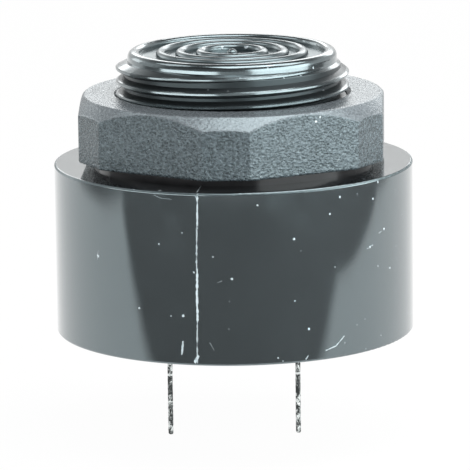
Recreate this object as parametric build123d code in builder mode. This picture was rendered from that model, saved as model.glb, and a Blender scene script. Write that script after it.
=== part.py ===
"""Panel-mount piezo buzzer with a threaded neck, a mounting nut and two solder pins.

Millimetres. The origin is the centre of the shoulder face that seats against the panel.
+Z is the side that the sound leaves from, and the pins point to -Z.
"""

import os
from math import atan, cos, degrees, radians, sin

from build123d import *

os.makedirs("parts", exist_ok=True)

# Body and shoulder
body_d = 43.0
body_h = 20.4
body_edge_r = 0.25
body_wall = 2.5
shoulder_t = 2.5

# Neck, rim and front wall
neck_h = 13.5
rim_d = 25.0
rim_w = 1.46
rim_outer_r = 0.78
rim_inner_r = 0.5
front_wall = 1.0
rim_stand = 1.78
step_rise = 0.28
neck_bore_d = 21.2

# Ringed front: three round ridges and a small domed pip at the centre
ring_radii = (3.80, 6.23, 8.54)
ring_w = 1.13
ring_h = 0.75
pip_r = 0.7

# Thread on the neck, right hand
thread_d = 27.9
thread_pitch = 1.5875
thread_depth = 1.0
thread_root_w = 0.3475
thread_crest_w = 0.2
thread_break_w = 0.12
thread_break_h = 0.16
thread_first_z = 1.1475
thread_stop = 0.122
runout_turns = 0.385
runout_drop = 1.65
ridge_knee_in = 0.15
ridge_foot_in = 0.4

# Mounting nut
nut_af = 36.05
nut_corner_af = 38.4
nut_h = 7.35
nut_turn = -2.6
nut_top_d = 35.55
nut_edge_r = 0.35
nut_sink = 1.05
nut_fit = 0.2
thread_fit = 0.12
groove_knee_out = 0.03
groove_foot_in = 0.6

# Sealing washer under the nut
washer_t = 1.0
washer_d = 33.6
washer_fit = 0.25

# Pins
pin_d = 0.64
pin_gap = 15.5
pin_shift = -0.25
pin_tin_t = 0.02
pin_out = 13.4
pin_above_board = 1.2
pin_tip = 0.12
pin_fit = 0.06
pin_solder_d = 2.0
pin_solder_h = 0.9

# Board and resin at the back
board_t = 1.6
board_depth = 13.6
board_fit = 0.1
board_ledge = 0.9
resin_recess = 0.4
resin_fit = 0.05

# Sounding disc behind the front wall
bond_t = 0.1
brass_fit = 0.6
brass_t = 0.25
brass_bare_w = 3.0
ceramic_t = 0.25
dot_r = 0.9
dot_h = 0.45
dot_taper = 35.0

# Wires from the disc to the board
core_d = 0.4
jacket_d = 1.0
core_fit = 0.03
strip_len = 0.8
wire_upright = 4.0
wire_bend_r = 2.0
core_short = 0.32
core_solder_d = 1.3
core_solder_h = 0.5
solder_top_w = 0.12
ceramic_wire_x = 3.0
brass_wire_turn = 135.0
wire_feet = ((3.0, 4.0), (-2.0, 4.0))

# Values that follow from the ones above
body_r = body_d / 2
rim_r = rim_d / 2
thread_r = thread_d / 2
root_r = thread_r - thread_depth
thread_base_w = thread_pitch - thread_root_w
step_z = neck_h - rim_stand
thread_turns = (step_z - thread_stop - thread_first_z) / thread_pitch
floor_z = neck_h - ring_h
front_back_z = floor_z - front_wall
back_z = -body_h
board_z = -board_depth
board_back_z = board_z - board_t
cavity_r = body_r - body_wall
ledge_r = cavity_r + board_ledge
board_r = ledge_r - board_fit
nut_z = washer_t
nut_top_z = nut_z + nut_h
nut_reach = nut_corner_af / 2 + 2
nut_bore_r = root_r + nut_fit
groove_start = (nut_z - thread_first_z) / thread_pitch - 1
groove_turns = nut_h / thread_pitch + 2
ring_side = ring_h - ring_w / 2
ridge_knee_r = root_r - ridge_knee_in
ridge_foot_r = rim_r - ridge_foot_in
groove_knee_r = root_r + groove_knee_out
groove_foot_r = root_r - groove_foot_in
pin_core_d = pin_d - 2 * pin_tin_t
pin_spots = [(pin_shift - pin_gap / 2, 0), (pin_shift + pin_gap / 2, 0)]
brass_d = neck_bore_d - 2 * brass_fit
ceramic_d = brass_d - 2 * brass_bare_w
brass_spot_r = (brass_d + ceramic_d) / 4
brass_spot_x = brass_spot_r * cos(radians(brass_wire_turn))
brass_spot_y = brass_spot_r * sin(radians(brass_wire_turn))
wire_tops = ((ceramic_wire_x, 0.0), (brass_spot_x, brass_spot_y))
wire_end_z = board_back_z + core_short


def ridge_half_width(r, grow):
    """Half width of the thread ridge at a radius, grown all round for the nut's groove."""
    crest_w = thread_crest_w / 2 + thread_break_w
    slope = (thread_base_w / 2 - crest_w) / (thread_depth - thread_break_h)
    return thread_base_w / 2 + grow + (root_r - r) * slope


def ridge_section(grow, knee_r, foot_r):
    """Section of the thread ridge in the plane of the axis, with its crest's edges broken."""
    flank_r = thread_r - thread_break_h
    flank_w = ridge_half_width(flank_r, grow)
    crest_w = thread_crest_w / 2 + grow / 2
    knee_w = ridge_half_width(knee_r, grow)
    with BuildSketch(Plane.XZ) as section:
        with BuildLine():
            Polyline(
                (foot_r, -knee_w), (knee_r, -knee_w), (flank_r, -flank_w), (thread_r + grow, -crest_w),
                (thread_r + grow, crest_w), (flank_r, flank_w), (knee_r, knee_w), (foot_r, knee_w),
                (foot_r, -knee_w),
            )
        make_face()
    return section.sketch


def ridge(turns, start_turn, grow, knee_r, foot_r):
    """Pieces of the helical ridge, a turn or less each, from a number of turns above the first."""
    section = ridge_section(grow, knee_r, foot_r)
    pieces = []
    done = 0
    while done < turns - 1e-6:
        part_turns = min(1, turns - done)
        with BuildPart() as length:
            with BuildLine() as path:
                Helix(thread_pitch, thread_pitch * part_turns, thread_r)
            sweep(sections=section, path=path.line, is_frenet=True)
        at_turn = start_turn + done
        lift = Pos(0, 0, thread_first_z + thread_pitch * at_turn)
        pieces.append(lift * Rot(0, 0, 360 * at_turn) * length.part)
        done += part_turns
    return pieces


def ridge_runout():
    """Last part of the top turn, which sinks into the neck until it is gone."""
    lean = degrees(atan(runout_drop / runout_turns / thread_pitch))
    with BuildPart() as length:
        with BuildLine() as path:
            slant_pitch = thread_pitch / cos(radians(lean))
            Helix(slant_pitch, thread_pitch * runout_turns, thread_r, cone_angle=-lean)
        sweep(sections=ridge_section(0, ridge_knee_r, ridge_foot_r), path=path.line, is_frenet=True)
    lift = Pos(0, 0, thread_first_z + thread_pitch * thread_turns)
    return lift * Rot(0, 0, 360 * thread_turns) * length.part


# Housing: body, shoulder, threaded neck, rim and rings in one moulding
with BuildPart() as housing:
    with BuildSketch(Plane.XZ):
        with BuildLine():
            Line((0, floor_z), (0, back_z))
            Polyline((0, back_z), (body_r, back_z), (body_r, 0), (root_r, 0), (root_r, step_z))
            Polyline((root_r, step_z), (rim_r, step_z + step_rise), (rim_r, neck_h - rim_outer_r))
            RadiusArc((rim_r, neck_h - rim_outer_r), (rim_r - rim_outer_r, neck_h), -rim_outer_r)
            Line((rim_r - rim_outer_r, neck_h), (rim_r - rim_w + rim_inner_r, neck_h))
            RadiusArc(
                (rim_r - rim_w + rim_inner_r, neck_h), (rim_r - rim_w, neck_h - rim_inner_r), -rim_inner_r
            )
            Polyline((rim_r - rim_w, neck_h - rim_inner_r), (rim_r - rim_w, floor_z), (0, floor_z))
        make_face()
    revolve(axis=Axis.Z)
    # Ridges of the ringed front
    with BuildSketch(Plane.XZ):
        for ring_r in ring_radii:
            with BuildLine():
                Polyline(
                    (ring_r - ring_w / 2, floor_z + ring_side),
                    (ring_r - ring_w / 2, floor_z - front_wall / 2),
                    (ring_r + ring_w / 2, floor_z - front_wall / 2),
                    (ring_r + ring_w / 2, floor_z + ring_side),
                )
                ThreePointArc(
                    (ring_r + ring_w / 2, floor_z + ring_side),
                    (ring_r, neck_h),
                    (ring_r - ring_w / 2, floor_z + ring_side),
                )
            make_face()
    revolve(axis=Axis.Z)
    with Locations((0, 0, neck_h - pip_r)):
        Sphere(pip_r)
    # Outer edges of the body
    round_edges = housing.edges().filter_by(GeomType.CIRCLE)
    outer_edges = round_edges.filter_by(lambda e: abs(e.radius - body_r) < 1e-6)
    fillet(outer_edges, body_edge_r)
    # Hollow inside, stepped for the board
    with BuildSketch(Plane.XZ):
        with BuildLine():
            Polyline(
                (0, front_back_z), (neck_bore_d / 2, front_back_z), (neck_bore_d / 2, -shoulder_t),
                (cavity_r, -shoulder_t), (cavity_r, board_z), (ledge_r, board_z), (ledge_r, back_z - 1),
                (0, back_z - 1), (0, front_back_z),
            )
        make_face()
    revolve(axis=Axis.Z, mode=Mode.SUBTRACT)
    # Helical thread with its run-out
    add(ridge(thread_turns, 0, 0, ridge_knee_r, ridge_foot_r))
    add(ridge_runout())
housing.part.label = "housing"
export_step(housing.part, "parts/housing.step")

# Mounting nut: hexagon with clipped corners, a turned top edge, soft edges and the matching thread
with BuildPart() as mounting_nut:
    with BuildSketch(Plane.XY.offset(nut_z)):
        RegularPolygon(nut_af / 2, 6, major_radius=False, rotation=nut_turn + 30)
        RegularPolygon(nut_corner_af / 2, 6, major_radius=False, rotation=nut_turn, mode=Mode.INTERSECT)
    extrude(amount=nut_h)
    with BuildSketch(Plane.XZ):
        with BuildLine():
            Polyline(
                (0, nut_z), (nut_reach, nut_z), (nut_reach, nut_top_z + nut_top_d / 2 - nut_reach),
                (nut_top_d / 2, nut_top_z), (0, nut_top_z), (0, nut_z),
            )
        make_face()
    revolve(axis=Axis.Z, mode=Mode.INTERSECT)
    fillet(mounting_nut.edges(), nut_edge_r)
    with BuildSketch(Plane.XZ):
        with BuildLine():
            Polyline(
                (0, nut_z - 1), (nut_bore_r, nut_z - 1), (nut_bore_r, nut_top_z - nut_sink),
                (nut_bore_r + nut_sink + 1, nut_top_z + 1), (0, nut_top_z + 1), (0, nut_z - 1),
            )
        make_face()
    revolve(axis=Axis.Z, mode=Mode.SUBTRACT)
    add(ridge(groove_turns, groove_start, thread_fit, groove_knee_r, groove_foot_r), mode=Mode.SUBTRACT)
mounting_nut.part.label = "mounting_nut"
export_step(mounting_nut.part, "parts/mounting_nut.step")

# Flat sealing washer between the shoulder and the nut
with BuildPart() as sealing_washer:
    with BuildSketch(Plane.XY):
        Circle(washer_d / 2)
        Circle(thread_r + washer_fit, mode=Mode.SUBTRACT)
    extrude(amount=washer_t)
sealing_washer.part.label = "sealing_washer"
export_step(sealing_washer.part, "parts/sealing_washer.step")


def pin(spot):
    """Round solder pin, blunt at both ends, with a coat of tin on the length that stands out."""
    with BuildPart() as wire:
        with BuildSketch(Plane.XY.offset(back_z)):
            with Locations(spot):
                Circle(pin_d / 2)
        extrude(amount=-pin_out)
        with BuildSketch(Plane.XY.offset(back_z)):
            with Locations(spot):
                Circle(pin_core_d / 2)
        extrude(amount=board_z + pin_above_board - back_z)
        ends = wire.edges().filter_by(GeomType.CIRCLE).group_by(Axis.Z)
        chamfer([*ends[0], *ends[-1]], pin_tip)
    return wire.part


with BuildPart() as pin_positive:
    add(pin(pin_spots[0]))
pin_positive.part.label = "pin_positive"
export_step(pin_positive.part, "parts/pin_positive.step")

with BuildPart() as pin_negative:
    add(pin(pin_spots[1]))
pin_negative.part.label = "pin_negative"
export_step(pin_negative.part, "parts/pin_negative.step")

# Board seated on the step inside the body, with holes for the pins and the wires
with BuildPart() as circuit_board:
    with BuildSketch(Plane.XY.offset(board_back_z)):
        Circle(board_r)
        with Locations(*pin_spots):
            Circle(pin_core_d / 2 + pin_fit, mode=Mode.SUBTRACT)
        with Locations(*wire_feet):
            Circle(core_d / 2 + pin_fit, mode=Mode.SUBTRACT)
    extrude(amount=board_t)
circuit_board.part.label = "circuit_board"
export_step(circuit_board.part, "parts/circuit_board.step")

# Resin that closes the back round the pins
with BuildPart() as back_resin:
    with BuildSketch(Plane.XY.offset(back_z + resin_recess)):
        Circle(ledge_r - resin_fit)
        with Locations(*pin_spots):
            Circle(pin_core_d / 2 + resin_fit, mode=Mode.SUBTRACT)
    extrude(amount=board_back_z - back_z - resin_recess)
back_resin.part.label = "back_resin"
export_step(back_resin.part, "parts/back_resin.step")


def fillet_of_solder(spots, wire_d, foot_d, height):
    """Solder on the board round each wire, wide at the foot and narrow at the top."""
    inner_r = wire_d / 2 + core_fit
    with BuildPart() as drops:
        with Locations(*[(x, y, board_z) for x, y in spots]):
            Cone(foot_d / 2, inner_r + solder_top_w, height, align=(Align.CENTER, Align.CENTER, Align.MIN))
            Cylinder(inner_r, height, align=(Align.CENTER, Align.CENTER, Align.MIN), mode=Mode.SUBTRACT)
    return drops.part


with BuildPart() as pin_solder:
    add(fillet_of_solder(pin_spots, pin_core_d, pin_solder_d, pin_solder_h))
pin_solder.part.label = "pin_solder"
export_step(pin_solder.part, "parts/pin_solder.step")

with BuildPart() as lead_solder:
    add(fillet_of_solder(wire_feet, core_d, core_solder_d, core_solder_h))
lead_solder.part.label = "lead_solder"
export_step(lead_solder.part, "parts/lead_solder.step")

# Sounding disc: glue film, brass disc and ceramic disc behind the front wall
bond_z = front_back_z - bond_t
brass_z = bond_z - brass_t
ceramic_z = brass_z - ceramic_t

with BuildPart() as disc_bond:
    with BuildSketch(Plane.XY.offset(bond_z)):
        Circle(brass_d / 2)
    extrude(amount=bond_t)
disc_bond.part.label = "disc_bond"
export_step(disc_bond.part, "parts/disc_bond.step")

with BuildPart() as brass_disc:
    with BuildSketch(Plane.XY.offset(brass_z)):
        Circle(brass_d / 2)
    extrude(amount=brass_t)
brass_disc.part.label = "brass_disc"
export_step(brass_disc.part, "parts/brass_disc.step")

with BuildPart() as piezo_ceramic:
    with BuildSketch(Plane.XY.offset(ceramic_z)):
        Circle(ceramic_d / 2)
    extrude(amount=ceramic_t)
piezo_ceramic.part.label = "piezo_ceramic"
export_step(piezo_ceramic.part, "parts/piezo_ceramic.step")

# Wires: a core soldered at both ends, in a jacket that is stripped near each end
dot_z = [ceramic_z, brass_z]
core_top_z = [z - dot_h for z in dot_z]
wires = list(zip(wire_tops, wire_feet, core_top_z))


def wire_rod(top, foot, top_z, rod_r):
    """Round rod along a wire's course, which is upright at both ends."""
    with BuildPart() as rod:
        with BuildLine() as course:
            FilletPolyline(
                (top[0], top[1], top_z), (top[0], top[1], top_z - wire_upright),
                (foot[0], foot[1], wire_end_z + wire_upright), (foot[0], foot[1], wire_end_z),
                radius=wire_bend_r,
            )
        with BuildSketch(Plane((top[0], top[1], top_z))):
            Circle(rod_r)
        sweep(path=course.line)
    return rod.part


with BuildPart() as disc_solder:
    for spot, spot_z in zip(wire_tops, dot_z):
        with BuildSketch(Plane.XY.offset(spot_z)):
            with Locations(spot):
                Circle(dot_r)
        extrude(amount=-dot_h, taper=dot_taper)
disc_solder.part.label = "disc_solder"
export_step(disc_solder.part, "parts/disc_solder.step")

with BuildPart() as lead_cores:
    for top, foot, top_z in wires:
        add(wire_rod(top, foot, top_z, core_d / 2))
lead_cores.part.label = "lead_cores"
export_step(lead_cores.part, "parts/lead_cores.step")

with BuildPart() as lead_jackets:
    for top, foot, top_z in wires:
        add(wire_rod(top, foot, top_z, jacket_d / 2))
        add(wire_rod(top, foot, top_z, core_d / 2 + core_fit), mode=Mode.SUBTRACT)
        with Locations((top[0], top[1], top_z - strip_len)):
            Cylinder(jacket_d, 2 * strip_len, align=(Align.CENTER, Align.CENTER, Align.MIN),
                     mode=Mode.SUBTRACT)
        with Locations((foot[0], foot[1], board_z + strip_len)):
            Cylinder(jacket_d, 2 * board_t, align=(Align.CENTER, Align.CENTER, Align.MAX),
                     mode=Mode.SUBTRACT)
lead_jackets.part.label = "lead_jackets"
export_step(lead_jackets.part, "parts/lead_jackets.step")

# Step-up coil: a drum core and its winding
coil_at = (-8.5, 8.5, board_z)
coil_d = 8.0
coil_h = 7.0
coil_post_d = 4.0
coil_flange_t = 1.0
coil_flange_w = 0.4
coil_fit = 0.05
wound_h = coil_h - 2 * (coil_flange_t + coil_fit)

with BuildPart() as coil_core:
    with Locations(coil_at):
        Cylinder(coil_d / 2, coil_flange_t, align=(Align.CENTER, Align.CENTER, Align.MIN))
        Cylinder(coil_post_d / 2, coil_h, align=(Align.CENTER, Align.CENTER, Align.MIN))
    with Locations((coil_at[0], coil_at[1], board_z + coil_h - coil_flange_t)):
        Cylinder(coil_d / 2, coil_flange_t, align=(Align.CENTER, Align.CENTER, Align.MIN))
coil_core.part.label = "coil_core"
export_step(coil_core.part, "parts/coil_core.step")

with BuildPart() as coil_winding:
    with Locations((coil_at[0], coil_at[1], board_z + coil_flange_t + coil_fit)):
        Cylinder(coil_d / 2 - coil_flange_w, wound_h, align=(Align.CENTER, Align.CENTER, Align.MIN))
        Cylinder(coil_post_d / 2 + coil_fit, wound_h, align=(Align.CENTER, Align.CENTER, Align.MIN),
                 mode=Mode.SUBTRACT)
coil_winding.part.label = "coil_winding"
export_step(coil_winding.part, "parts/coil_winding.step")

# Smoothing capacitor: a sealed can on two legs
can_at = (9.0, 8.5)
can_d = 6.3
can_h = 7.0
can_edge_r = 0.4
can_lift = 0.3
can_leg_d = 0.5
can_leg_gap = 2.5

with BuildPart() as capacitor_can:
    with Locations((can_at[0], can_at[1], board_z + can_lift)):
        Cylinder(can_d / 2, can_h, align=(Align.CENTER, Align.CENTER, Align.MIN))
    fillet(capacitor_can.edges().group_by(Axis.Z)[-1], can_edge_r)
capacitor_can.part.label = "capacitor_can"
export_step(capacitor_can.part, "parts/capacitor_can.step")

with BuildPart() as capacitor_legs:
    for side in (-1, 1):
        with Locations((can_at[0] + side * can_leg_gap / 2, can_at[1], board_z)):
            Cylinder(can_leg_d / 2, can_lift, align=(Align.CENTER, Align.CENTER, Align.MIN))
capacitor_legs.part.label = "capacitor_legs"
export_step(capacitor_legs.part, "parts/capacitor_legs.step")


# Flat parts: the broken top edge of their bodies
flat_edge = 0.15


def flat_body(spot, length, width, height, lift):
    """Moulded body of a flat part, held a little above the board."""
    with BuildPart() as body:
        with Locations((spot[0], spot[1], board_z + lift)):
            Box(length, width, height, align=(Align.CENTER, Align.CENTER, Align.MIN))
        chamfer(body.edges().group_by(Axis.Z)[-1], flat_edge)
    return body.part


def bent_leg(x, inner_y, outer_y, width, mid_h, thickness):
    """Leg that leaves the body level and comes down to a foot on the board."""
    half_t = thickness / 2 if outer_y > inner_y else -thickness / 2
    knee_y = (inner_y + outer_y) / 2
    top_z = board_z + mid_h + thickness / 2
    foot_z = board_z + thickness
    with BuildPart() as leg:
        with BuildSketch(Plane.YZ.offset(x - width / 2)):
            with BuildLine():
                Polyline(
                    (inner_y, top_z), (knee_y + half_t, top_z), (knee_y + half_t, foot_z),
                    (outer_y, foot_z), (outer_y, board_z), (knee_y - half_t, board_z),
                    (knee_y - half_t, top_z - thickness), (inner_y, top_z - thickness), (inner_y, top_z),
                )
            make_face()
        extrude(amount=width)
    return leg.part


# Driver chip with eight legs
chip_at = (0.5, -6.5)
chip_l = 4.9
chip_w = 3.9
chip_h = 1.4
chip_lift = 0.15
leg_pitch = 1.27
leg_w = 0.4
leg_t = 0.2
leg_reach = 1.05

with BuildPart() as driver_chip:
    add(flat_body(chip_at, chip_l, chip_w, chip_h, chip_lift))
driver_chip.part.label = "driver_chip"
export_step(driver_chip.part, "parts/driver_chip.step")

with BuildPart() as driver_chip_legs:
    for side in (-1, 1):
        side_y = chip_at[1] + side * chip_w / 2
        for step in (-1.5, -0.5, 0.5, 1.5):
            leg_x = chip_at[0] + step * leg_pitch
            add(bent_leg(leg_x, side_y, side_y + side * leg_reach, leg_w, chip_lift + chip_h / 2, leg_t))
driver_chip_legs.part.label = "driver_chip_legs"
export_step(driver_chip_legs.part, "parts/driver_chip_legs.step")

# Switching transistor with three legs
tiny_at = (8.5, -7.0)
tiny_l = 2.9
tiny_w = 1.3
tiny_h = 1.0
tiny_leg_shift = 0.95
tiny_leg_t = 0.15
tiny_leg_reach = 0.65

with BuildPart() as transistor:
    add(flat_body(tiny_at, tiny_l, tiny_w, tiny_h, chip_lift))
transistor.part.label = "transistor"
export_step(transistor.part, "parts/transistor.step")

with BuildPart() as transistor_legs:
    for shift, side in ((-tiny_leg_shift, -1), (tiny_leg_shift, -1), (0, 1)):
        leg_x = tiny_at[0] + shift
        side_y = tiny_at[1] + side * tiny_w / 2
        outer_y = side_y + side * tiny_leg_reach
        add(bent_leg(leg_x, side_y, outer_y, leg_w, chip_lift + tiny_h / 2, tiny_leg_t))
transistor_legs.part.label = "transistor_legs"
export_step(transistor_legs.part, "parts/transistor_legs.step")

# Small chip resistors and capacitors, each between two metal ends
chip_part_l = 2.0
chip_part_w = 1.25
chip_end_l = 0.4
resistor_h = 0.5
chip_capacitor_h = 0.9
resistor_spots = ((-9.5, -6.0), (-9.5, -9.0), (-6.0, -12.0), (12.5, -4.0))
chip_capacitor_spots = ((0.5, -12.5), (5.5, -12.0))


def chip_parts(spots, height, ends):
    """Bodies of small chip parts, or their metal ends."""
    body_l = chip_part_l - 2 * chip_end_l
    with BuildPart() as chips:
        for x, y in spots:
            if ends:
                for side in (-1, 1):
                    with Locations((x + side * (body_l + chip_end_l) / 2, y, board_z)):
                        Box(chip_end_l, chip_part_w, height, align=(Align.CENTER, Align.CENTER, Align.MIN))
            else:
                with Locations((x, y, board_z)):
                    Box(body_l, chip_part_w, height, align=(Align.CENTER, Align.CENTER, Align.MIN))
    return chips.part


with BuildPart() as resistors:
    add(chip_parts(resistor_spots, resistor_h, False))
resistors.part.label = "resistors"
export_step(resistors.part, "parts/resistors.step")

with BuildPart() as resistor_ends:
    add(chip_parts(resistor_spots, resistor_h, True))
resistor_ends.part.label = "resistor_ends"
export_step(resistor_ends.part, "parts/resistor_ends.step")

with BuildPart() as chip_capacitors:
    add(chip_parts(chip_capacitor_spots, chip_capacitor_h, False))
chip_capacitors.part.label = "chip_capacitors"
export_step(chip_capacitors.part, "parts/chip_capacitors.step")

with BuildPart() as chip_capacitor_ends:
    add(chip_parts(chip_capacitor_spots, chip_capacitor_h, True))
chip_capacitor_ends.part.label = "chip_capacitor_ends"
export_step(chip_capacitor_ends.part, "parts/chip_capacitor_ends.step")

# Diode against a reversed supply: a small cylinder between two metal ends
diode_inset = 6.8
diode_d = 1.5
diode_l = 3.5
diode_end_l = 0.5
diode_at = (0.0, board_r - diode_inset)


def lying_cylinder(x, length):
    """Cylinder that lies on the board along X."""
    with BuildPart() as rod:
        with Locations((x, diode_at[1], board_z + diode_d / 2)):
            Cylinder(diode_d / 2, length, rotation=(0, 90, 0))
    return rod.part


with BuildPart() as diode_body:
    add(lying_cylinder(diode_at[0], diode_l - 2 * diode_end_l))
diode_body.part.label = "diode_body"
export_step(diode_body.part, "parts/diode_body.step")

with BuildPart() as diode_ends:
    for side in (-1, 1):
        add(lying_cylinder(diode_at[0] + side * (diode_l - diode_end_l) / 2, diode_end_l))
diode_ends.part.label = "diode_ends"
export_step(diode_ends.part, "parts/diode_ends.step")
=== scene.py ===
"""Looks of the piezo buzzer: materials, wear, floor, light and camera, in the frame of its CAD model.

Metres. The origin is the centre of the shoulder face, +Z is the ringed front, and the pins point to -Z.
Lengths inside a material are millimetres.
"""

import math

import bmesh
import bpy
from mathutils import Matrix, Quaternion, Vector, noise
from mathutils.bvhtree import BVHTree


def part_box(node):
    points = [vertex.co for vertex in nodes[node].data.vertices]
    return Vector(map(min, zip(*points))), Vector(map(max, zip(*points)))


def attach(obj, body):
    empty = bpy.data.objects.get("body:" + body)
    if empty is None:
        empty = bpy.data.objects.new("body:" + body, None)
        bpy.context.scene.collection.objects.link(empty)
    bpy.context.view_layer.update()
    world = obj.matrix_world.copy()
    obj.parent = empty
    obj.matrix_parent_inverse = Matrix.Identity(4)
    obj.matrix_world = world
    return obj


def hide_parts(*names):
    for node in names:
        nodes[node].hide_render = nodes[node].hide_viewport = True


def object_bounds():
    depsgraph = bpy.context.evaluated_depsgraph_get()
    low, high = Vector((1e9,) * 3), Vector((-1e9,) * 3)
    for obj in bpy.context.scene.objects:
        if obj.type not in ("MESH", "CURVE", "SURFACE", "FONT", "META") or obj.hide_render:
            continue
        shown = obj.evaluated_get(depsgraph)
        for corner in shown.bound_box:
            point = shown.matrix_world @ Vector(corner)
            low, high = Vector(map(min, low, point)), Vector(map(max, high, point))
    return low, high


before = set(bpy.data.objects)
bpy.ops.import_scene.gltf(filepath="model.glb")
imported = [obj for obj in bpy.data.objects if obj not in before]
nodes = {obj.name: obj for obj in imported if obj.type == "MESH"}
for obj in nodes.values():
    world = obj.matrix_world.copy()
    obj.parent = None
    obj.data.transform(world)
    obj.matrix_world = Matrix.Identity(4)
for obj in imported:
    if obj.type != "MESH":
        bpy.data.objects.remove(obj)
cad_low, cad_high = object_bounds()
scene = bpy.context.scene

mm = 0.001
photo_size = 470

# Camera: the photograph's viewpoint, lens and slight tilt
eye_elevation = math.radians(11.50)
eye_distance = 0.52294
eye_target = Vector((0.00008, 0.0, -0.00921))
eye_roll = math.radians(-0.72)
lens_mm = 332.5
sensor_mm = 36.0


def make_camera():
    """Camera at the photograph's place."""
    data = bpy.data.cameras.new("photo_camera")
    data.lens = lens_mm
    data.sensor_width = sensor_mm
    data.clip_start = 0.01
    data.clip_end = 20.0
    camera = bpy.data.objects.new("photo_camera", data)
    scene.collection.objects.link(camera)
    back = Vector((0, -math.cos(eye_elevation), math.sin(eye_elevation)))
    camera.location = eye_target + back * eye_distance
    camera.rotation_mode = "QUATERNION"
    camera.rotation_quaternion = (-back).to_track_quat("-Z", "Y") @ Quaternion((0, 0, 1), eye_roll)
    scene.camera = camera
    bpy.context.view_layer.update()
    return camera


camera = make_camera()


def surface_of(*names):
    """Search tree of the named CAD nodes' surfaces."""
    points, faces = [], []
    for name in names:
        mesh = nodes[name].data
        first = len(points)
        points += [v.co.copy() for v in mesh.vertices]
        faces += [[first + i for i in p.vertices] for p in mesh.polygons]
    return BVHTree.FromPolygons(points, faces)


outside = surface_of("housing", "mounting_nut", "sealing_washer")

# Marks: noise per millimetre at their edge, how far it wanders, and where they start to fade and
# end, as shares of the width; and the length under which a stroke is a speck
mark_grain = 2.5
mark_ragged = 1.4
mark_core = 0.35
mark_rim = 0.65
same_point_mm = 1e-6


def photo_spot(pixel):
    """Point of the part's outside that a pixel of the photograph shows."""
    half = sensor_mm / lens_mm / 2
    x = (pixel[0] / photo_size * 2 - 1) * half
    y = (1 - pixel[1] / photo_size * 2) * half
    way = camera.matrix_world.to_3x3() @ Vector((x, y, -1))
    hit = outside.ray_cast(camera.location, way.normalized())[0]
    if hit is None:
        raise ValueError(f"no surface is shown at {pixel}")
    return hit / mm


class Graph:
    """A node tree that is built a node at a time."""

    def __init__(self, tree):
        self.tree = tree
        self.tree.nodes.clear()

    def node(self, kind, **settings):
        """New node with the given settings."""
        made = self.tree.nodes.new(kind)
        for name, value in settings.items():
            setattr(made, name, value)
        return made

    def put(self, socket, value):
        """Sets an input to a number or colour, or links it to another node's output."""
        if isinstance(value, bpy.types.NodeSocket):
            self.tree.links.new(value, socket)
        elif isinstance(value, (tuple, list, Vector)) and len(value) == 3 and socket.type == "RGBA":
            socket.default_value = (*value, 1)
        else:
            socket.default_value = value

    def math(self, operation, a, b=0.0, clamp=False):
        """Arithmetic on two numbers."""
        made = self.node("ShaderNodeMath", operation=operation, use_clamp=clamp)
        self.put(made.inputs[0], a)
        self.put(made.inputs[1], b)
        return made.outputs[0]

    def vector(self, operation, a, b=(0, 0, 0), scale=1.0):
        """Vector arithmetic; a distance or dot product comes out as a number."""
        made = self.node("ShaderNodeVectorMath", operation=operation)
        self.put(made.inputs[0], a)
        if operation == "SCALE":
            self.put(made.inputs["Scale"], scale)
        else:
            self.put(made.inputs[1], b)
        number = operation in ("DISTANCE", "DOT_PRODUCT")
        return made.outputs["Value" if number else "Vector"]

    def axes(self, vector):
        """The three coordinates of a vector."""
        made = self.node("ShaderNodeSeparateXYZ")
        self.put(made.inputs[0], vector)
        return made.outputs

    def total(self, *terms):
        """Sum of numbers, each with its weight."""
        value, weight = terms[0]
        result = self.math("MULTIPLY", value, weight)
        for value, weight in terms[1:]:
            result = self.math("ADD", result, self.math("MULTIPLY", value, weight))
        return result

    def span(self, value, low, high, to_low=0.0, to_high=1.0):
        """Smooth step of a value from one range to another."""
        made = self.node("ShaderNodeMapRange", interpolation_type="SMOOTHSTEP")
        for name, number in zip(("Value", "From Min", "From Max", "To Min", "To Max"),
                                (value, low, high, to_low, to_high)):
            self.put(made.inputs[name], number)
        return made.outputs["Result"]

    def most(self, masks):
        """Largest of several masks."""
        while len(masks) > 1:
            masks = [self.math("MAXIMUM", *masks[i:i + 2]) if i + 1 < len(masks) else masks[i]
                     for i in range(0, len(masks), 2)]
        return masks[0]

    def mix(self, amount, a, b):
        """Blend of two colours."""
        made = self.node("ShaderNodeMix", data_type="RGBA")
        self.put(made.inputs["Factor"], amount)
        self.put(made.inputs[6], a)
        self.put(made.inputs[7], b)
        return made.outputs[2]

    def mix_numbers(self, amount, a, b):
        """Blend of two numbers."""
        made = self.node("ShaderNodeMix")
        self.put(made.inputs[0], amount)
        self.put(made.inputs[2], a)
        self.put(made.inputs[3], b)
        return made.outputs[0]

    def mix_shaders(self, amount, a, b):
        """Blend of two shaders."""
        made = self.node("ShaderNodeMixShader")
        for socket, value in zip(made.inputs, (amount, a, b)):
            self.put(socket, value)
        return made.outputs[0]


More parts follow.
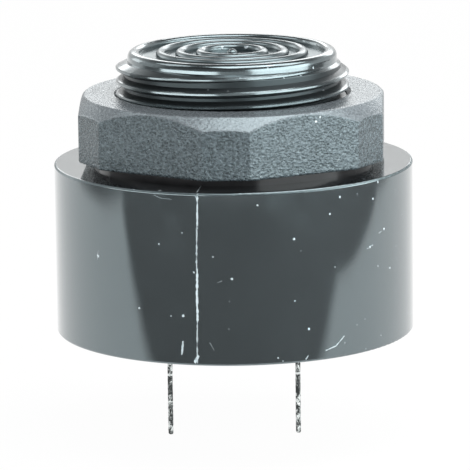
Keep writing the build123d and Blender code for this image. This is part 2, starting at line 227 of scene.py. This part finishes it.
class Look(Graph):
    """A procedural material, with places in millimetres."""

    def __init__(self, name):
        self.material = bpy.data.materials.new(name)
        self.material.use_nodes = True
        super().__init__(self.material.node_tree)
        self.shader = self.node("ShaderNodeBsdfPrincipled")
        out = self.node("ShaderNodeOutputMaterial")
        self.put(out.inputs["Surface"], self.shader.outputs["BSDF"])
        coords = self.node("ShaderNodeTexCoord")
        self.place = self.vector("SCALE", coords.outputs["Object"], scale=1 / mm)

    def stretched(self, factors):
        """Place with each axis scaled by its own factor."""
        return self.vector("MULTIPLY", self.place, factors)

    def noise(self, per_mm, detail=2.0, rough=0.5, vector=None, warp=0.0):
        """Noise between 0 and 1."""
        made = self.node("ShaderNodeTexNoise")
        self.put(made.inputs["Vector"], vector or self.place)
        made.inputs["Scale"].default_value = per_mm
        made.inputs["Detail"].default_value = detail
        made.inputs["Roughness"].default_value = rough
        made.inputs["Distortion"].default_value = warp
        return made.outputs["Fac"]

    def cells(self, per_mm, feature="F1", vector=None):
        """Distance inside a cell pattern."""
        made = self.node("ShaderNodeTexVoronoi", feature=feature)
        self.put(made.inputs["Vector"], vector or self.place)
        made.inputs["Scale"].default_value = per_mm
        return made.outputs["Distance"]

    def bump(self, height, depth_mm, below=None):
        """Bumped normal for a height between 0 and 1, on top of another bump."""
        made = self.node("ShaderNodeBump")
        made.inputs["Strength"].default_value = 1.0
        made.inputs["Distance"].default_value = depth_mm * mm
        self.put(made.inputs["Height"], height)
        if below is not None:
            self.put(made.inputs["Normal"], below)
        return made.outputs["Normal"]

    def stroke(self, points, width):
        """Mask of a thin mark along points in millimetres, with a ragged edge."""
        wobble = self.math("SUBTRACT", self.noise(mark_grain), 0.5)
        masks = []
        for a, b in zip(points, points[1:] or points):
            run = b - a
            if run.length > same_point_mm:
                from_a = self.vector("SUBTRACT", self.place, a)
                along = self.vector("DOT_PRODUCT", from_a, run / run.length_squared)
                along = self.math("MULTIPLY", along, 1.0, clamp=True)
                foot = self.vector("ADD", self.vector("SCALE", run, scale=along), a)
                gap = self.vector("DISTANCE", self.place, foot)
            else:
                gap = self.vector("DISTANCE", self.place, a)
            gap = self.math("ADD", gap, self.math("MULTIPLY", wobble, width * mark_ragged))
            masks.append(self.span(gap, width * mark_core, width * mark_rim, 1.0, 0.0))
        return self.most(masks)

    def finish(self, **inputs):
        """Sets the shader's inputs and returns the material."""
        for name, value in inputs.items():
            self.put(self.shader.inputs[name.replace("_", " ")], value)
        return self.material


def dress(name, material):
    """Gives a CAD node its material."""
    nodes[name].material_slots[0].material = material


# Marks on the housing and the nut, as pixels of the photograph: place and width in millimetres
scuff_px = (
    (((201, 186), (197.0, 192), (195.5, 197)), 0.15),
    (((197.4, 194), (197.2, 226)), 0.19),
    (((196.8, 226), (196.6, 270)), 0.14),
    (((197.2, 270), (197.0, 300), (197.6, 322)), 0.23),
    (((197.4, 320), (197.2, 350), (197.6, 363)), 0.15),
    (((195.2, 362.3), (198, 357)), 0.30),
)
body_specks_px = (
    (257.6, 205.5, 0.22), (373, 199, 0.2), (294, 239, 0.24), (197.0, 228, 0.30), (194, 272.5, 0.22),
    (98, 256, 0.3),
    (232, 279, 0.22), (182, 233, 0.14), (139, 308, 0.22), (183, 316, 0.30),
    (309, 329, 0.24), (295, 301, 0.16), (357, 325, 0.16), (365, 319, 0.14), (390, 268, 0.22),
    (384, 229, 0.26), (370, 247, 0.22), (330, 214, 0.18), (340, 197, 0.22), (386, 281, 0.16),
    (213, 257, 0.14), (301, 251, 0.12), (335, 267, 0.12), (229, 329, 0.14), (366, 349, 0.16),
    (278, 358, 0.2), (283, 361, 0.16), (171, 316, 0.14), (378, 266, 0.14), (345, 343, 0.18),
    (395, 190, 0.14), (402, 215, 0.13), (396, 246, 0.12),
)
body_strokes_px = (
    (((183, 342), (181.8, 354)), 0.20),
    (((326, 350.5), (336, 346), (344, 336.5)), 0.12),
    (((154, 195), (160, 198), (171, 199.5)), 0.05),
    (((98, 251), (97.5, 259)), 0.10),
    (((210, 343), (214, 350)), 0.07),
    (((217, 283), (222, 281)), 0.06),
    (((306, 359), (308, 356)), 0.12),
    (((379, 233), (381.5, 231)), 0.09),
    (((367, 249), (373, 245)), 0.08),
    (((177, 172), (183, 176)), 0.05),
)
shoulder_specks_px = (
    (364, 179, 0.2), (372, 175, 0.2), (378, 182, 0.26), (134, 189.5, 0.22), (160, 190.5, 0.3),
)
# Marks on the neck; the two widest, at the middle of the ringed dish, are painted reflections
neck_specks_and_glints_px = (
    (313.5, 68, 0.22), (342.7, 95, 0.3), (208, 90, 0.16), (228, 91, 0.16), (284, 78, 0.2),
    (222, 47.5, 0.45), (246, 47.5, 0.45), (240, 78, 0.12), (197, 91, 0.12), (276, 57, 0.14),
)
nut_specks_px = (
    (316, 121.5, 0.28), (320, 117, 0.2), (261, 177, 0.2), (174, 178.5, 0.22), (126, 109, 0.2),
    (221, 114, 0.22), (281, 109, 0.2), (298, 108.5, 0.16), (107, 106, 0.14), (347, 122, 0.14),
    (338, 160, 0.16), (134, 182, 0.2), (150, 176, 0.14),
)

# Width from which a speck or a stroke shows at full strength
full_speck_w = 0.30
full_stroke_w = 0.22


def add_marks(look, specks, strokes=()):
    """Mask of all the marks on one piece. A finer mark is a fainter one."""
    masks = []
    for *spot, width in specks:
        mask = look.stroke([photo_spot(spot)], width)
        masks.append(look.math("MULTIPLY", mask, min(1.0, width / full_speck_w)))
    for points, width in strokes:
        mask = look.stroke([photo_spot(p) for p in points], width)
        masks.append(look.math("MULTIPLY", mask, min(1.0, width / full_stroke_w)))
    return look.most(masks)


# Where the gloss of the housing changes: the top of the thread, its crests, the wall of the ringed
# dish, and the rounded edge of the shoulder with its reach inwards and down
thread_end_mm = 11.6
crest_start_mm = 13.55
dish_end_mm = 11.3
edge_start_mm = 21.24
edge_drop_mm = 0.26
edge_soft_mm = 0.06

# Extra roughness and lost coat on the neck, in the thread's valleys, in the dish and on the edge
zone_dull = (0.10, 0.18, 0.12, 0.30)
zone_coat_loss = (0.35, 0.62, 0.25, 0.75)

# Colours of the black moulding and of what has worn or settled on it; the grey also paints the two
# reflections in the ringed dish
moulding_dark = (0.010, 0.0115, 0.0125)
moulding_light = (0.020, 0.023, 0.025)
wear_and_glint_grey = (0.52, 0.58, 0.61)


def housing_look():
    """Glossy black moulding with dust, nicks, one long scuff down the front and two painted reflections
    in the ringed dish.
    """
    look = Look("housing_gloss")
    specks = [*body_specks_px, *shoulder_specks_px, *neck_specks_and_glints_px]
    marks = add_marks(look, specks, [*body_strokes_px, *scuff_px])
    broken = look.math("ADD", look.span(look.noise(0.55, 3.0), 0.34, 0.5), 0.35, clamp=True)
    dust = look.span(look.cells(0.42), 0.035, 0.06, 1.0, 0.0)
    dust = look.math("MULTIPLY", dust, look.span(look.noise(0.09), 0.48, 0.62))
    wear_and_glints = look.math("MAXIMUM", look.math("MULTIPLY", marks, broken), look.math("MULTIPLY", dust, 0.55))
    black = look.mix(look.noise(0.12, 3.0), moulding_dark, moulding_light)
    smudge = look.span(look.noise(0.2, 4.0, 0.6), 0.35, 0.75, 0.06, 0.12)

    x, y, height = look.axes(look.place)
    radius = look.math("SQRT", look.math("ADD", look.math("MULTIPLY", x, x), look.math("MULTIPLY", y, y)))
    neck = look.span(height, 0.1, 0.4)
    thread = look.math("MULTIPLY", neck, look.span(height, thread_end_mm, thread_end_mm + 0.3, 1.0, 0.0))
    crest = look.span(radius, crest_start_mm, crest_start_mm + 0.25)
    valley = look.math("MULTIPLY", thread, look.math("SUBTRACT", 1.0, crest))
    dish = look.math("MULTIPLY", neck, look.span(radius, dish_end_mm - 0.4, dish_end_mm, 1.0, 0.0))
    edge = look.math("MULTIPLY", look.span(radius, edge_start_mm, edge_start_mm + edge_soft_mm),
                     look.span(height, -edge_drop_mm, edge_soft_mm - edge_drop_mm))

    zones = (neck, valley, dish, edge)
    dull = look.total(*zip(zones, zone_dull))
    coat_loss = look.total(*zip(zones, zone_coat_loss))
    raised = look.bump(look.noise(5.0), 0.0022)
    raised = look.bump(look.noise(0.10, 1.0), 0.05, raised)
    raised = look.bump(wear_and_glints, 0.02, raised)
    return look.finish(
        # Grey of the worn marks and of the painted reflections in the dish
        Base_Color=look.mix(wear_and_glints, black, wear_and_glint_grey),
        Roughness=look.math("ADD", look.math("ADD", smudge, dull), look.math("MULTIPLY", wear_and_glints, 0.4)),
        Normal=raised,
        IOR=2.35,
        Specular_IOR_Level=look.math("SUBTRACT", 0.5, look.math("MULTIPLY", valley, 0.38)),
        Specular_Tint=(0.72, 0.94, 1.0),
        Coat_Weight=look.math("SUBTRACT", 1.0, coat_loss, clamp=True),
        Coat_Roughness=look.math("ADD", 0.045, look.math("MULTIPLY", neck, 0.085)),
        Coat_IOR=1.65,
    )


# Colours of the nut: dark and light grey of its base, the crown of its grain, which is rubbed wear with a
# painted sheen, the upward faces, dark and light, which are a painted highlight, and the marks on it
nut_dark = (0.008, 0.011, 0.013)
nut_light = (0.018, 0.023, 0.027)
nut_crown_sheen = (0.062, 0.077, 0.087)
nut_lit_top_dark = (0.092, 0.104, 0.114)
nut_lit_top_light = (0.132, 0.147, 0.160)
nut_mark = (0.72, 0.78, 0.80)


def nut_look():
    """Dark grey moulding with a fine leathery grain, a painted sheen on the grain's crowns and painted
    shade in its pits, and upward faces painted lighter as a painted highlight.
    """
    look = Look("nut_grain_and_sheen")
    marks = add_marks(look, nut_specks_px)
    geometry = look.node("ShaderNodeNewGeometry")
    facing_up = look.axes(geometry.outputs["Normal"])[2]
    upper = look.span(facing_up, 0.15, 0.55)
    wide = look.stretched((1.0, 1.0, 1.5))
    pebbles = look.cells(2.7, "SMOOTH_F1", wide)
    wrinkles = look.noise(2.8, 3.0, 0.6, wide, 0.6)
    height = look.math("ADD", look.math("MULTIPLY", pebbles, 0.8), wrinkles)
    crown = look.span(height, 0.62, 1.02)
    grey = look.mix(look.span(look.noise(0.25, 3.0), 0.3, 0.7), nut_dark, nut_light)
    # Grain crowns lighter and pits darker: rubbed wear with a painted sheen, and painted shade
    sides = look.mix(crown, grey, nut_crown_sheen)
    # Faces that turn upwards are painted lighter: a painted highlight
    lit_top = look.mix(crown, nut_lit_top_dark, nut_lit_top_light)
    relief = look.math("MULTIPLY", height, look.math("SUBTRACT", 1.0, look.math("MULTIPLY", upper, 0.72)))
    return look.finish(
        Base_Color=look.mix(look.math("MULTIPLY", marks, 0.9), look.mix(upper, sides, lit_top), nut_mark),
        Roughness=look.span(wrinkles, 0.3, 0.7, 0.20, 0.32),
        Normal=look.bump(relief, 0.16),
        IOR=1.9,
        Specular_Tint=(0.78, 0.95, 1.0),
    )


def washer_look():
    """Smooth black washer with a slight sheen."""
    look = Look("washer_black")
    return look.finish(
        Base_Color=look.mix(look.noise(0.5, 3.0), (0.016, 0.016, 0.017), (0.030, 0.030, 0.032)),
        Roughness=look.span(look.noise(1.2, 3.0), 0.3, 0.7, 0.13, 0.19),
        Normal=look.bump(look.noise(0.3), 0.004),
        IOR=1.5,
        Specular_IOR_Level=0.22,
    )


# Smooth bright rings on the pins, which are painted highlights: height, half width and where they end, as
# a share of the half width; and the colours of the pits and of the tin, which the rings take too
pin_highlight_rings_mm = ((-26.35, 0.12), (-29.7, 0.05))
pin_highlight_rim = 1.6
pit_black = (0.045, 0.05, 0.05)
tin_and_highlight_bright = (0.74, 0.78, 0.77)


def tinned_look():
    """Dull tin with the dark pits of a hand-dipped wire, and bright rings that are painted highlights."""
    look = Look("tinned_wire")
    tin = look.span(look.noise(2.2, 4.0, 0.7, look.stretched((1, 1, 0.6)), 1.0), 0.47, 0.60)
    height = look.axes(look.place)[2]
    # Painted highlights: bright colour and a smoother gloss in two rings
    for ring_z, ring_half in pin_highlight_rings_mm:
        off = look.math("ABSOLUTE", look.math("SUBTRACT", height, ring_z))
        tin = look.math("MAXIMUM", tin, look.span(off, ring_half, ring_half * pin_highlight_rim, 1.0, 0.0))
    return look.finish(
        Base_Color=look.mix(tin, pit_black, tin_and_highlight_bright),
        Roughness=look.span(tin, 0.0, 1.0, 0.5, 0.26),
        Metallic=0.9,
        Normal=look.bump(tin, 0.05),
    )


def plain_look(name, dark, light, rough, per_mm=1.0, metal=0.0, depth=0.01, stretch=(1, 1, 1)):
    """Material of a hidden piece: two tones, a fine grain and an uneven gloss."""
    look = Look(name)
    grain = look.noise(per_mm, 4.0, 0.6, look.stretched(stretch))
    broad = look.noise(per_mm * 0.2)
    tone = look.math("MULTIPLY", look.math("ADD", grain, broad), 0.5)
    return look.finish(
        Base_Color=look.mix(look.span(tone, 0.3, 0.7), dark, light),
        Roughness=look.span(grain, 0.3, 0.7, rough * 0.8, rough * 1.25),
        Metallic=metal,
        Normal=look.bump(grain, depth),
    )


def resin_look():
    """Black cast resin with shallow flow marks and a few pinholes."""
    look = Look("back_resin_cast")
    flow = look.noise(0.15, 3.0, warp=1.5)
    holes = look.span(look.cells(0.35), 0.04, 0.09, 1.0, 0.0)
    return look.finish(
        Base_Color=look.mix(flow, (0.010, 0.010, 0.011), (0.022, 0.022, 0.024)),
        Roughness=look.span(flow, 0.3, 0.7, 0.16, 0.34),
        Normal=look.bump(look.math("SUBTRACT", look.math("MULTIPLY", flow, 0.7), holes), 0.12),
        IOR=1.55,
    )


dress("housing", housing_look())
dress("mounting_nut", nut_look())
dress("sealing_washer", washer_look())
dress("back_resin", resin_look())

solder_grey = plain_look("solder_joint", (0.42, 0.43, 0.43), (0.68, 0.69, 0.69), 0.28, 2.0, metal=1.0)
tin_plate = plain_look("tinned_legs", (0.5, 0.5, 0.49), (0.7, 0.7, 0.68), 0.3, 4.0, metal=1.0,
                       stretch=(0.3, 1, 1))
chip_black = plain_look("chip_moulding", (0.018, 0.018, 0.019), (0.035, 0.035, 0.036), 0.55, 8.0,
                        depth=0.012)
for name in ("pin_solder", "lead_solder", "disc_solder", "chip_capacitor_ends", "resistor_ends",
             "diode_ends"):
    dress(name, solder_grey)
for name in ("capacitor_legs", "driver_chip_legs", "transistor_legs", "lead_cores"):
    dress(name, tin_plate)
for name in ("driver_chip", "transistor", "diode_body"):
    dress(name, chip_black)

hidden_looks = {
    "circuit_board": plain_look("board_laminate", (0.02, 0.11, 0.045), (0.035, 0.17, 0.07), 0.35, 3.0,
                                depth=0.008),
    "disc_bond": plain_look("disc_glue", (0.45, 0.42, 0.33), (0.62, 0.59, 0.5), 0.3, 0.6),
    "brass_disc": plain_look("rolled_brass", (0.55, 0.38, 0.14), (0.78, 0.6, 0.28), 0.28, 2.5, metal=1.0,
                             stretch=(0.15, 2, 1)),
    "piezo_ceramic": plain_look("silvered_ceramic", (0.55, 0.55, 0.52), (0.75, 0.75, 0.72), 0.42, 3.0,
                                metal=0.6),
    "lead_jackets": plain_look("red_insulation", (0.36, 0.015, 0.015), (0.52, 0.03, 0.028), 0.42, 1.5),
    "coil_core": plain_look("ferrite_drum", (0.035, 0.035, 0.038), (0.075, 0.075, 0.08), 0.6, 5.0,
                            depth=0.02),
    "coil_winding": plain_look("enamelled_copper", (0.3, 0.09, 0.03), (0.6, 0.24, 0.09), 0.3, 1.0,
                               metal=1.0, depth=0.08, stretch=(0.2, 0.2, 9)),
    "capacitor_can": plain_look("drawn_can", (0.5, 0.5, 0.52), (0.68, 0.68, 0.7), 0.3, 2.5, metal=1.0,
                                stretch=(1, 1, 0.15)),
    "resistors": plain_look("resistor_glaze", (0.02, 0.02, 0.024), (0.05, 0.05, 0.056), 0.3, 3.0),
    "chip_capacitors": plain_look("tan_ceramic", (0.36, 0.28, 0.19), (0.5, 0.41, 0.3), 0.5, 4.0),
}
for name, material in hidden_looks.items():
    dress(name, material)

# Pins: wires with the uneven coat that dipping leaves. The coat's hollows have a depth, a broad and a
# fine size, as noise for each radius, and a stretch along the pin
pin_columns = 40
pin_step = 0.05 * mm
pin_rough = 0.035 * mm
pin_tip = 0.12 * mm
dip_round = 1.1
dip_along = 1.7
dip_broad = 1.6
dip_fine = 4.1
dip_fine_share = 0.5
pin_material = tinned_look()


def tinned_pin(node, seed):
    """Wire along a CAD pin, whose coat rises and falls but stays inside the pin's box."""
    low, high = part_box(node)
    centre = (low + high) / 2
    radius = (high.x - low.x) / 2
    rows = int((high.z - low.z) / pin_step)
    mesh = bmesh.new()
    rings = []
    for row in range(rows + 1):
        z = low.z + (high.z - low.z) * row / rows
        blunt = min(0.0, z - low.z - pin_tip, high.z - z - pin_tip)
        ring = []
        for column in range(pin_columns):
            turn = 2 * math.pi * column / pin_columns
            side = Vector((math.cos(turn), math.sin(turn), 0))
            where = side * dip_round + Vector((seed, 0, z / mm * dip_along))
            dip = noise.noise(where * dip_broad) + dip_fine_share * noise.noise(where * dip_fine)
            dip = min(1.0, max(0.0, dip * 0.5 + 0.5))
            reach = radius + blunt - pin_rough * dip
            ring.append(mesh.verts.new(centre.xy.to_3d() + side * reach + Vector((0, 0, z))))
        rings.append(ring)
    for lower, upper in zip(rings, rings[1:]):
        for i in range(pin_columns):
            j = (i + 1) % pin_columns
            mesh.faces.new((lower[i], lower[j], upper[j], upper[i])).smooth = True
    mesh.faces.new(list(reversed(rings[0])))
    mesh.faces.new(rings[-1])
    data = bpy.data.meshes.new(node + "_tinned")
    mesh.to_mesh(data)
    mesh.free()
    data.materials.append(pin_material)
    piece = bpy.data.objects.new(node + "_tinned", data)
    scene.collection.objects.link(piece)
    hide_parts(node)
    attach(piece, "root")


tinned_pin("pin_positive", 3.0)
tinned_pin("pin_negative", 11.0)

# Floor: white for the eye. In reflections it is white as far as the sheet that the part stands on
# reaches, dark past the sheet's edges, and paler again far in front
floor_half = 4.0
floor_grey = 0.85
floor_glow = 0.97
sheet_front_y = -0.057
sheet_front_lead = 0.005
sheet_front_soft = 0.010
sheet_turn_x = 0.114
sheet_turn_slope = 1.33
sheet_bow = 0.018
sheet_bow_slope = -0.2
sheet_side_x = 0.172
sheet_side_soft = 0.015
sheet_back_y = 0.125
sheet_back_soft = 0.02
off_sheet_light = 0.17
far_front_y = -0.185
far_front_soft = 0.03
far_front_light = 0.7


def make_floor():
    """Flat floor under the pins' tips, clear from below."""
    z = cad_low.z
    corners = [(-floor_half, -floor_half, z), (floor_half, -floor_half, z),
               (floor_half, floor_half, z), (-floor_half, floor_half, z)]
    data = bpy.data.meshes.new("floor")
    data.from_pydata(corners, [], [(0, 1, 2, 3)])
    floor = bpy.data.objects.new("floor", data)
    scene.collection.objects.link(floor)
    material = bpy.data.materials.new("floor_white")
    material.use_nodes = True
    data.materials.append(material)

    graph = Graph(material.node_tree)
    number = graph.math
    x, y, _ = graph.axes(graph.node("ShaderNodeTexCoord").outputs["Object"])
    off_middle = number("ABSOLUTE", x)
    turned = number("MAXIMUM", number("SUBTRACT", x, sheet_turn_x), 0.0)
    edge_y = number("ADD", number("MULTIPLY", turned, sheet_turn_slope), sheet_front_y)
    bow = number("ADD", number("MULTIPLY", off_middle, sheet_bow_slope), sheet_bow)
    edge_y = number("ADD", edge_y, number("MAXIMUM", bow, 0.0))
    past = number("ADD", number("SUBTRACT", edge_y, y), sheet_front_lead)
    front = number("DIVIDE", past, sheet_front_soft, clamp=True)
    aside = number("DIVIDE", number("SUBTRACT", off_middle, sheet_side_x), sheet_side_soft, clamp=True)
    near = number("DIVIDE", number("SUBTRACT", sheet_back_y, y), sheet_back_soft, clamp=True)
    far = number("DIVIDE", number("SUBTRACT", far_front_y, y), far_front_soft, clamp=True)
    dark = number("MAXIMUM", front, number("MULTIPLY", aside, near))
    dark = number("SUBTRACT", dark, number("MULTIPLY", far, far_front_light), clamp=True)
    shown = number("SUBTRACT", 1.0, number("MULTIPLY", dark, 1.0 - off_sheet_light))

    rays = graph.node("ShaderNodeLightPath").outputs
    mirrored = number("MAXIMUM", rays["Is Glossy Ray"], rays["Is Transmission Ray"])
    glow = number("ADD", number("MULTIPLY", mirrored, shown), rays["Is Camera Ray"], clamp=True)
    seen = number("MAXIMUM", mirrored, rays["Is Camera Ray"])
    lit = graph.node("ShaderNodeBsdfDiffuse")
    graph.put(lit.inputs["Color"], (floor_grey, floor_grey, floor_grey))
    white = graph.node("ShaderNodeEmission")
    graph.put(white.inputs["Strength"], glow)
    upper = graph.mix_shaders(number("MULTIPLY", seen, floor_glow), lit.outputs[0], white.outputs[0])
    below = graph.node("ShaderNodeNewGeometry").outputs["Backfacing"]
    clear = graph.node("ShaderNodeBsdfTransparent").outputs[0]
    out = graph.node("ShaderNodeOutputMaterial")
    graph.put(out.inputs["Surface"], graph.mix_shaders(below, upper, clear))


make_floor()

# World: white for the eye, an even grey as light, and in reflections a room that is dim in front and
# overhead; the room's ranges are directions, along y and up
world_light = 0.26
room_front = 0.22
room_front_range = (-0.25, 0.15)
room_top = 0.16
room_top_range = (0.40, 0.70)


def make_world():
    """World of the plain studio."""
    world = bpy.data.worlds.new("studio")
    scene.world = world
    world.use_nodes = True
    graph = Graph(world.node_tree)
    way = graph.axes(graph.node("ShaderNodeTexCoord").outputs["Generated"])
    side = graph.span(way[1], *room_front_range, room_front, 1.0)
    rise = graph.span(way[2], *room_top_range, 1.0, room_top)
    rays = graph.node("ShaderNodeLightPath").outputs
    strength = graph.mix_numbers(rays["Is Glossy Ray"], world_light, graph.math("MULTIPLY", side, rise))
    strength = graph.mix_numbers(rays["Is Camera Ray"], strength, 1.0)
    back = graph.node("ShaderNodeBackground")
    graph.put(back.inputs["Strength"], strength)
    out = graph.node("ShaderNodeOutputWorld")
    graph.put(out.inputs["Surface"], back.outputs[0])


make_world()

# Lamps: name, azimuth, elevation, distance, width, height, radiance and tint. Azimuth 0 is the
# camera's side and 90 the right
white_light = (1.0, 1.0, 1.0)
lamps = (
    ("card_right", 55, 10.7, 0.183, 0.260, 0.124, 5.0, (0.96, 1.0, 1.0)),
    ("card_left", -49, -2.4, 0.181, 0.240, 0.036, 4.6, white_light),
    ("lamp_above", 30, 76, 0.60, 0.44, 0.34, 5.0, white_light),
    ("lamp_top_right", 94, 56, 0.60, 0.30, 0.30, 4.5, white_light),
    ("lamp_top_left", -102, 53, 0.60, 0.26, 0.26, 2.4, white_light),
    ("lamp_back", 172, 20, 0.65, 0.54, 0.15, 2.9, white_light),
    ("lamp_side", -132, 14, 0.60, 0.22, 0.22, 1.6, white_light),
)


def soft_box(name, azimuth, elevation, distance, width, height, radiance, tint):
    """Rectangular soft lamp that faces the part."""
    data = bpy.data.lights.new(name, "AREA")
    data.shape = "RECTANGLE"
    data.size, data.size_y = width, height
    data.energy = radiance * math.pi * width * height
    data.color = tint
    lamp = bpy.data.objects.new(name, data)
    scene.collection.objects.link(lamp)
    turn, rise = math.radians(azimuth), math.radians(elevation)
    way = Vector((math.sin(turn) * math.cos(rise), -math.cos(turn) * math.cos(rise), math.sin(rise)))
    lamp.location = way * distance
    lamp.rotation_mode = "QUATERNION"
    lamp.rotation_quaternion = way.to_track_quat("Z", "Y")
    lamp.visible_camera = False


for lamp in lamps:
    soft_box(*lamp)

scene.view_settings.view_transform = "Standard"
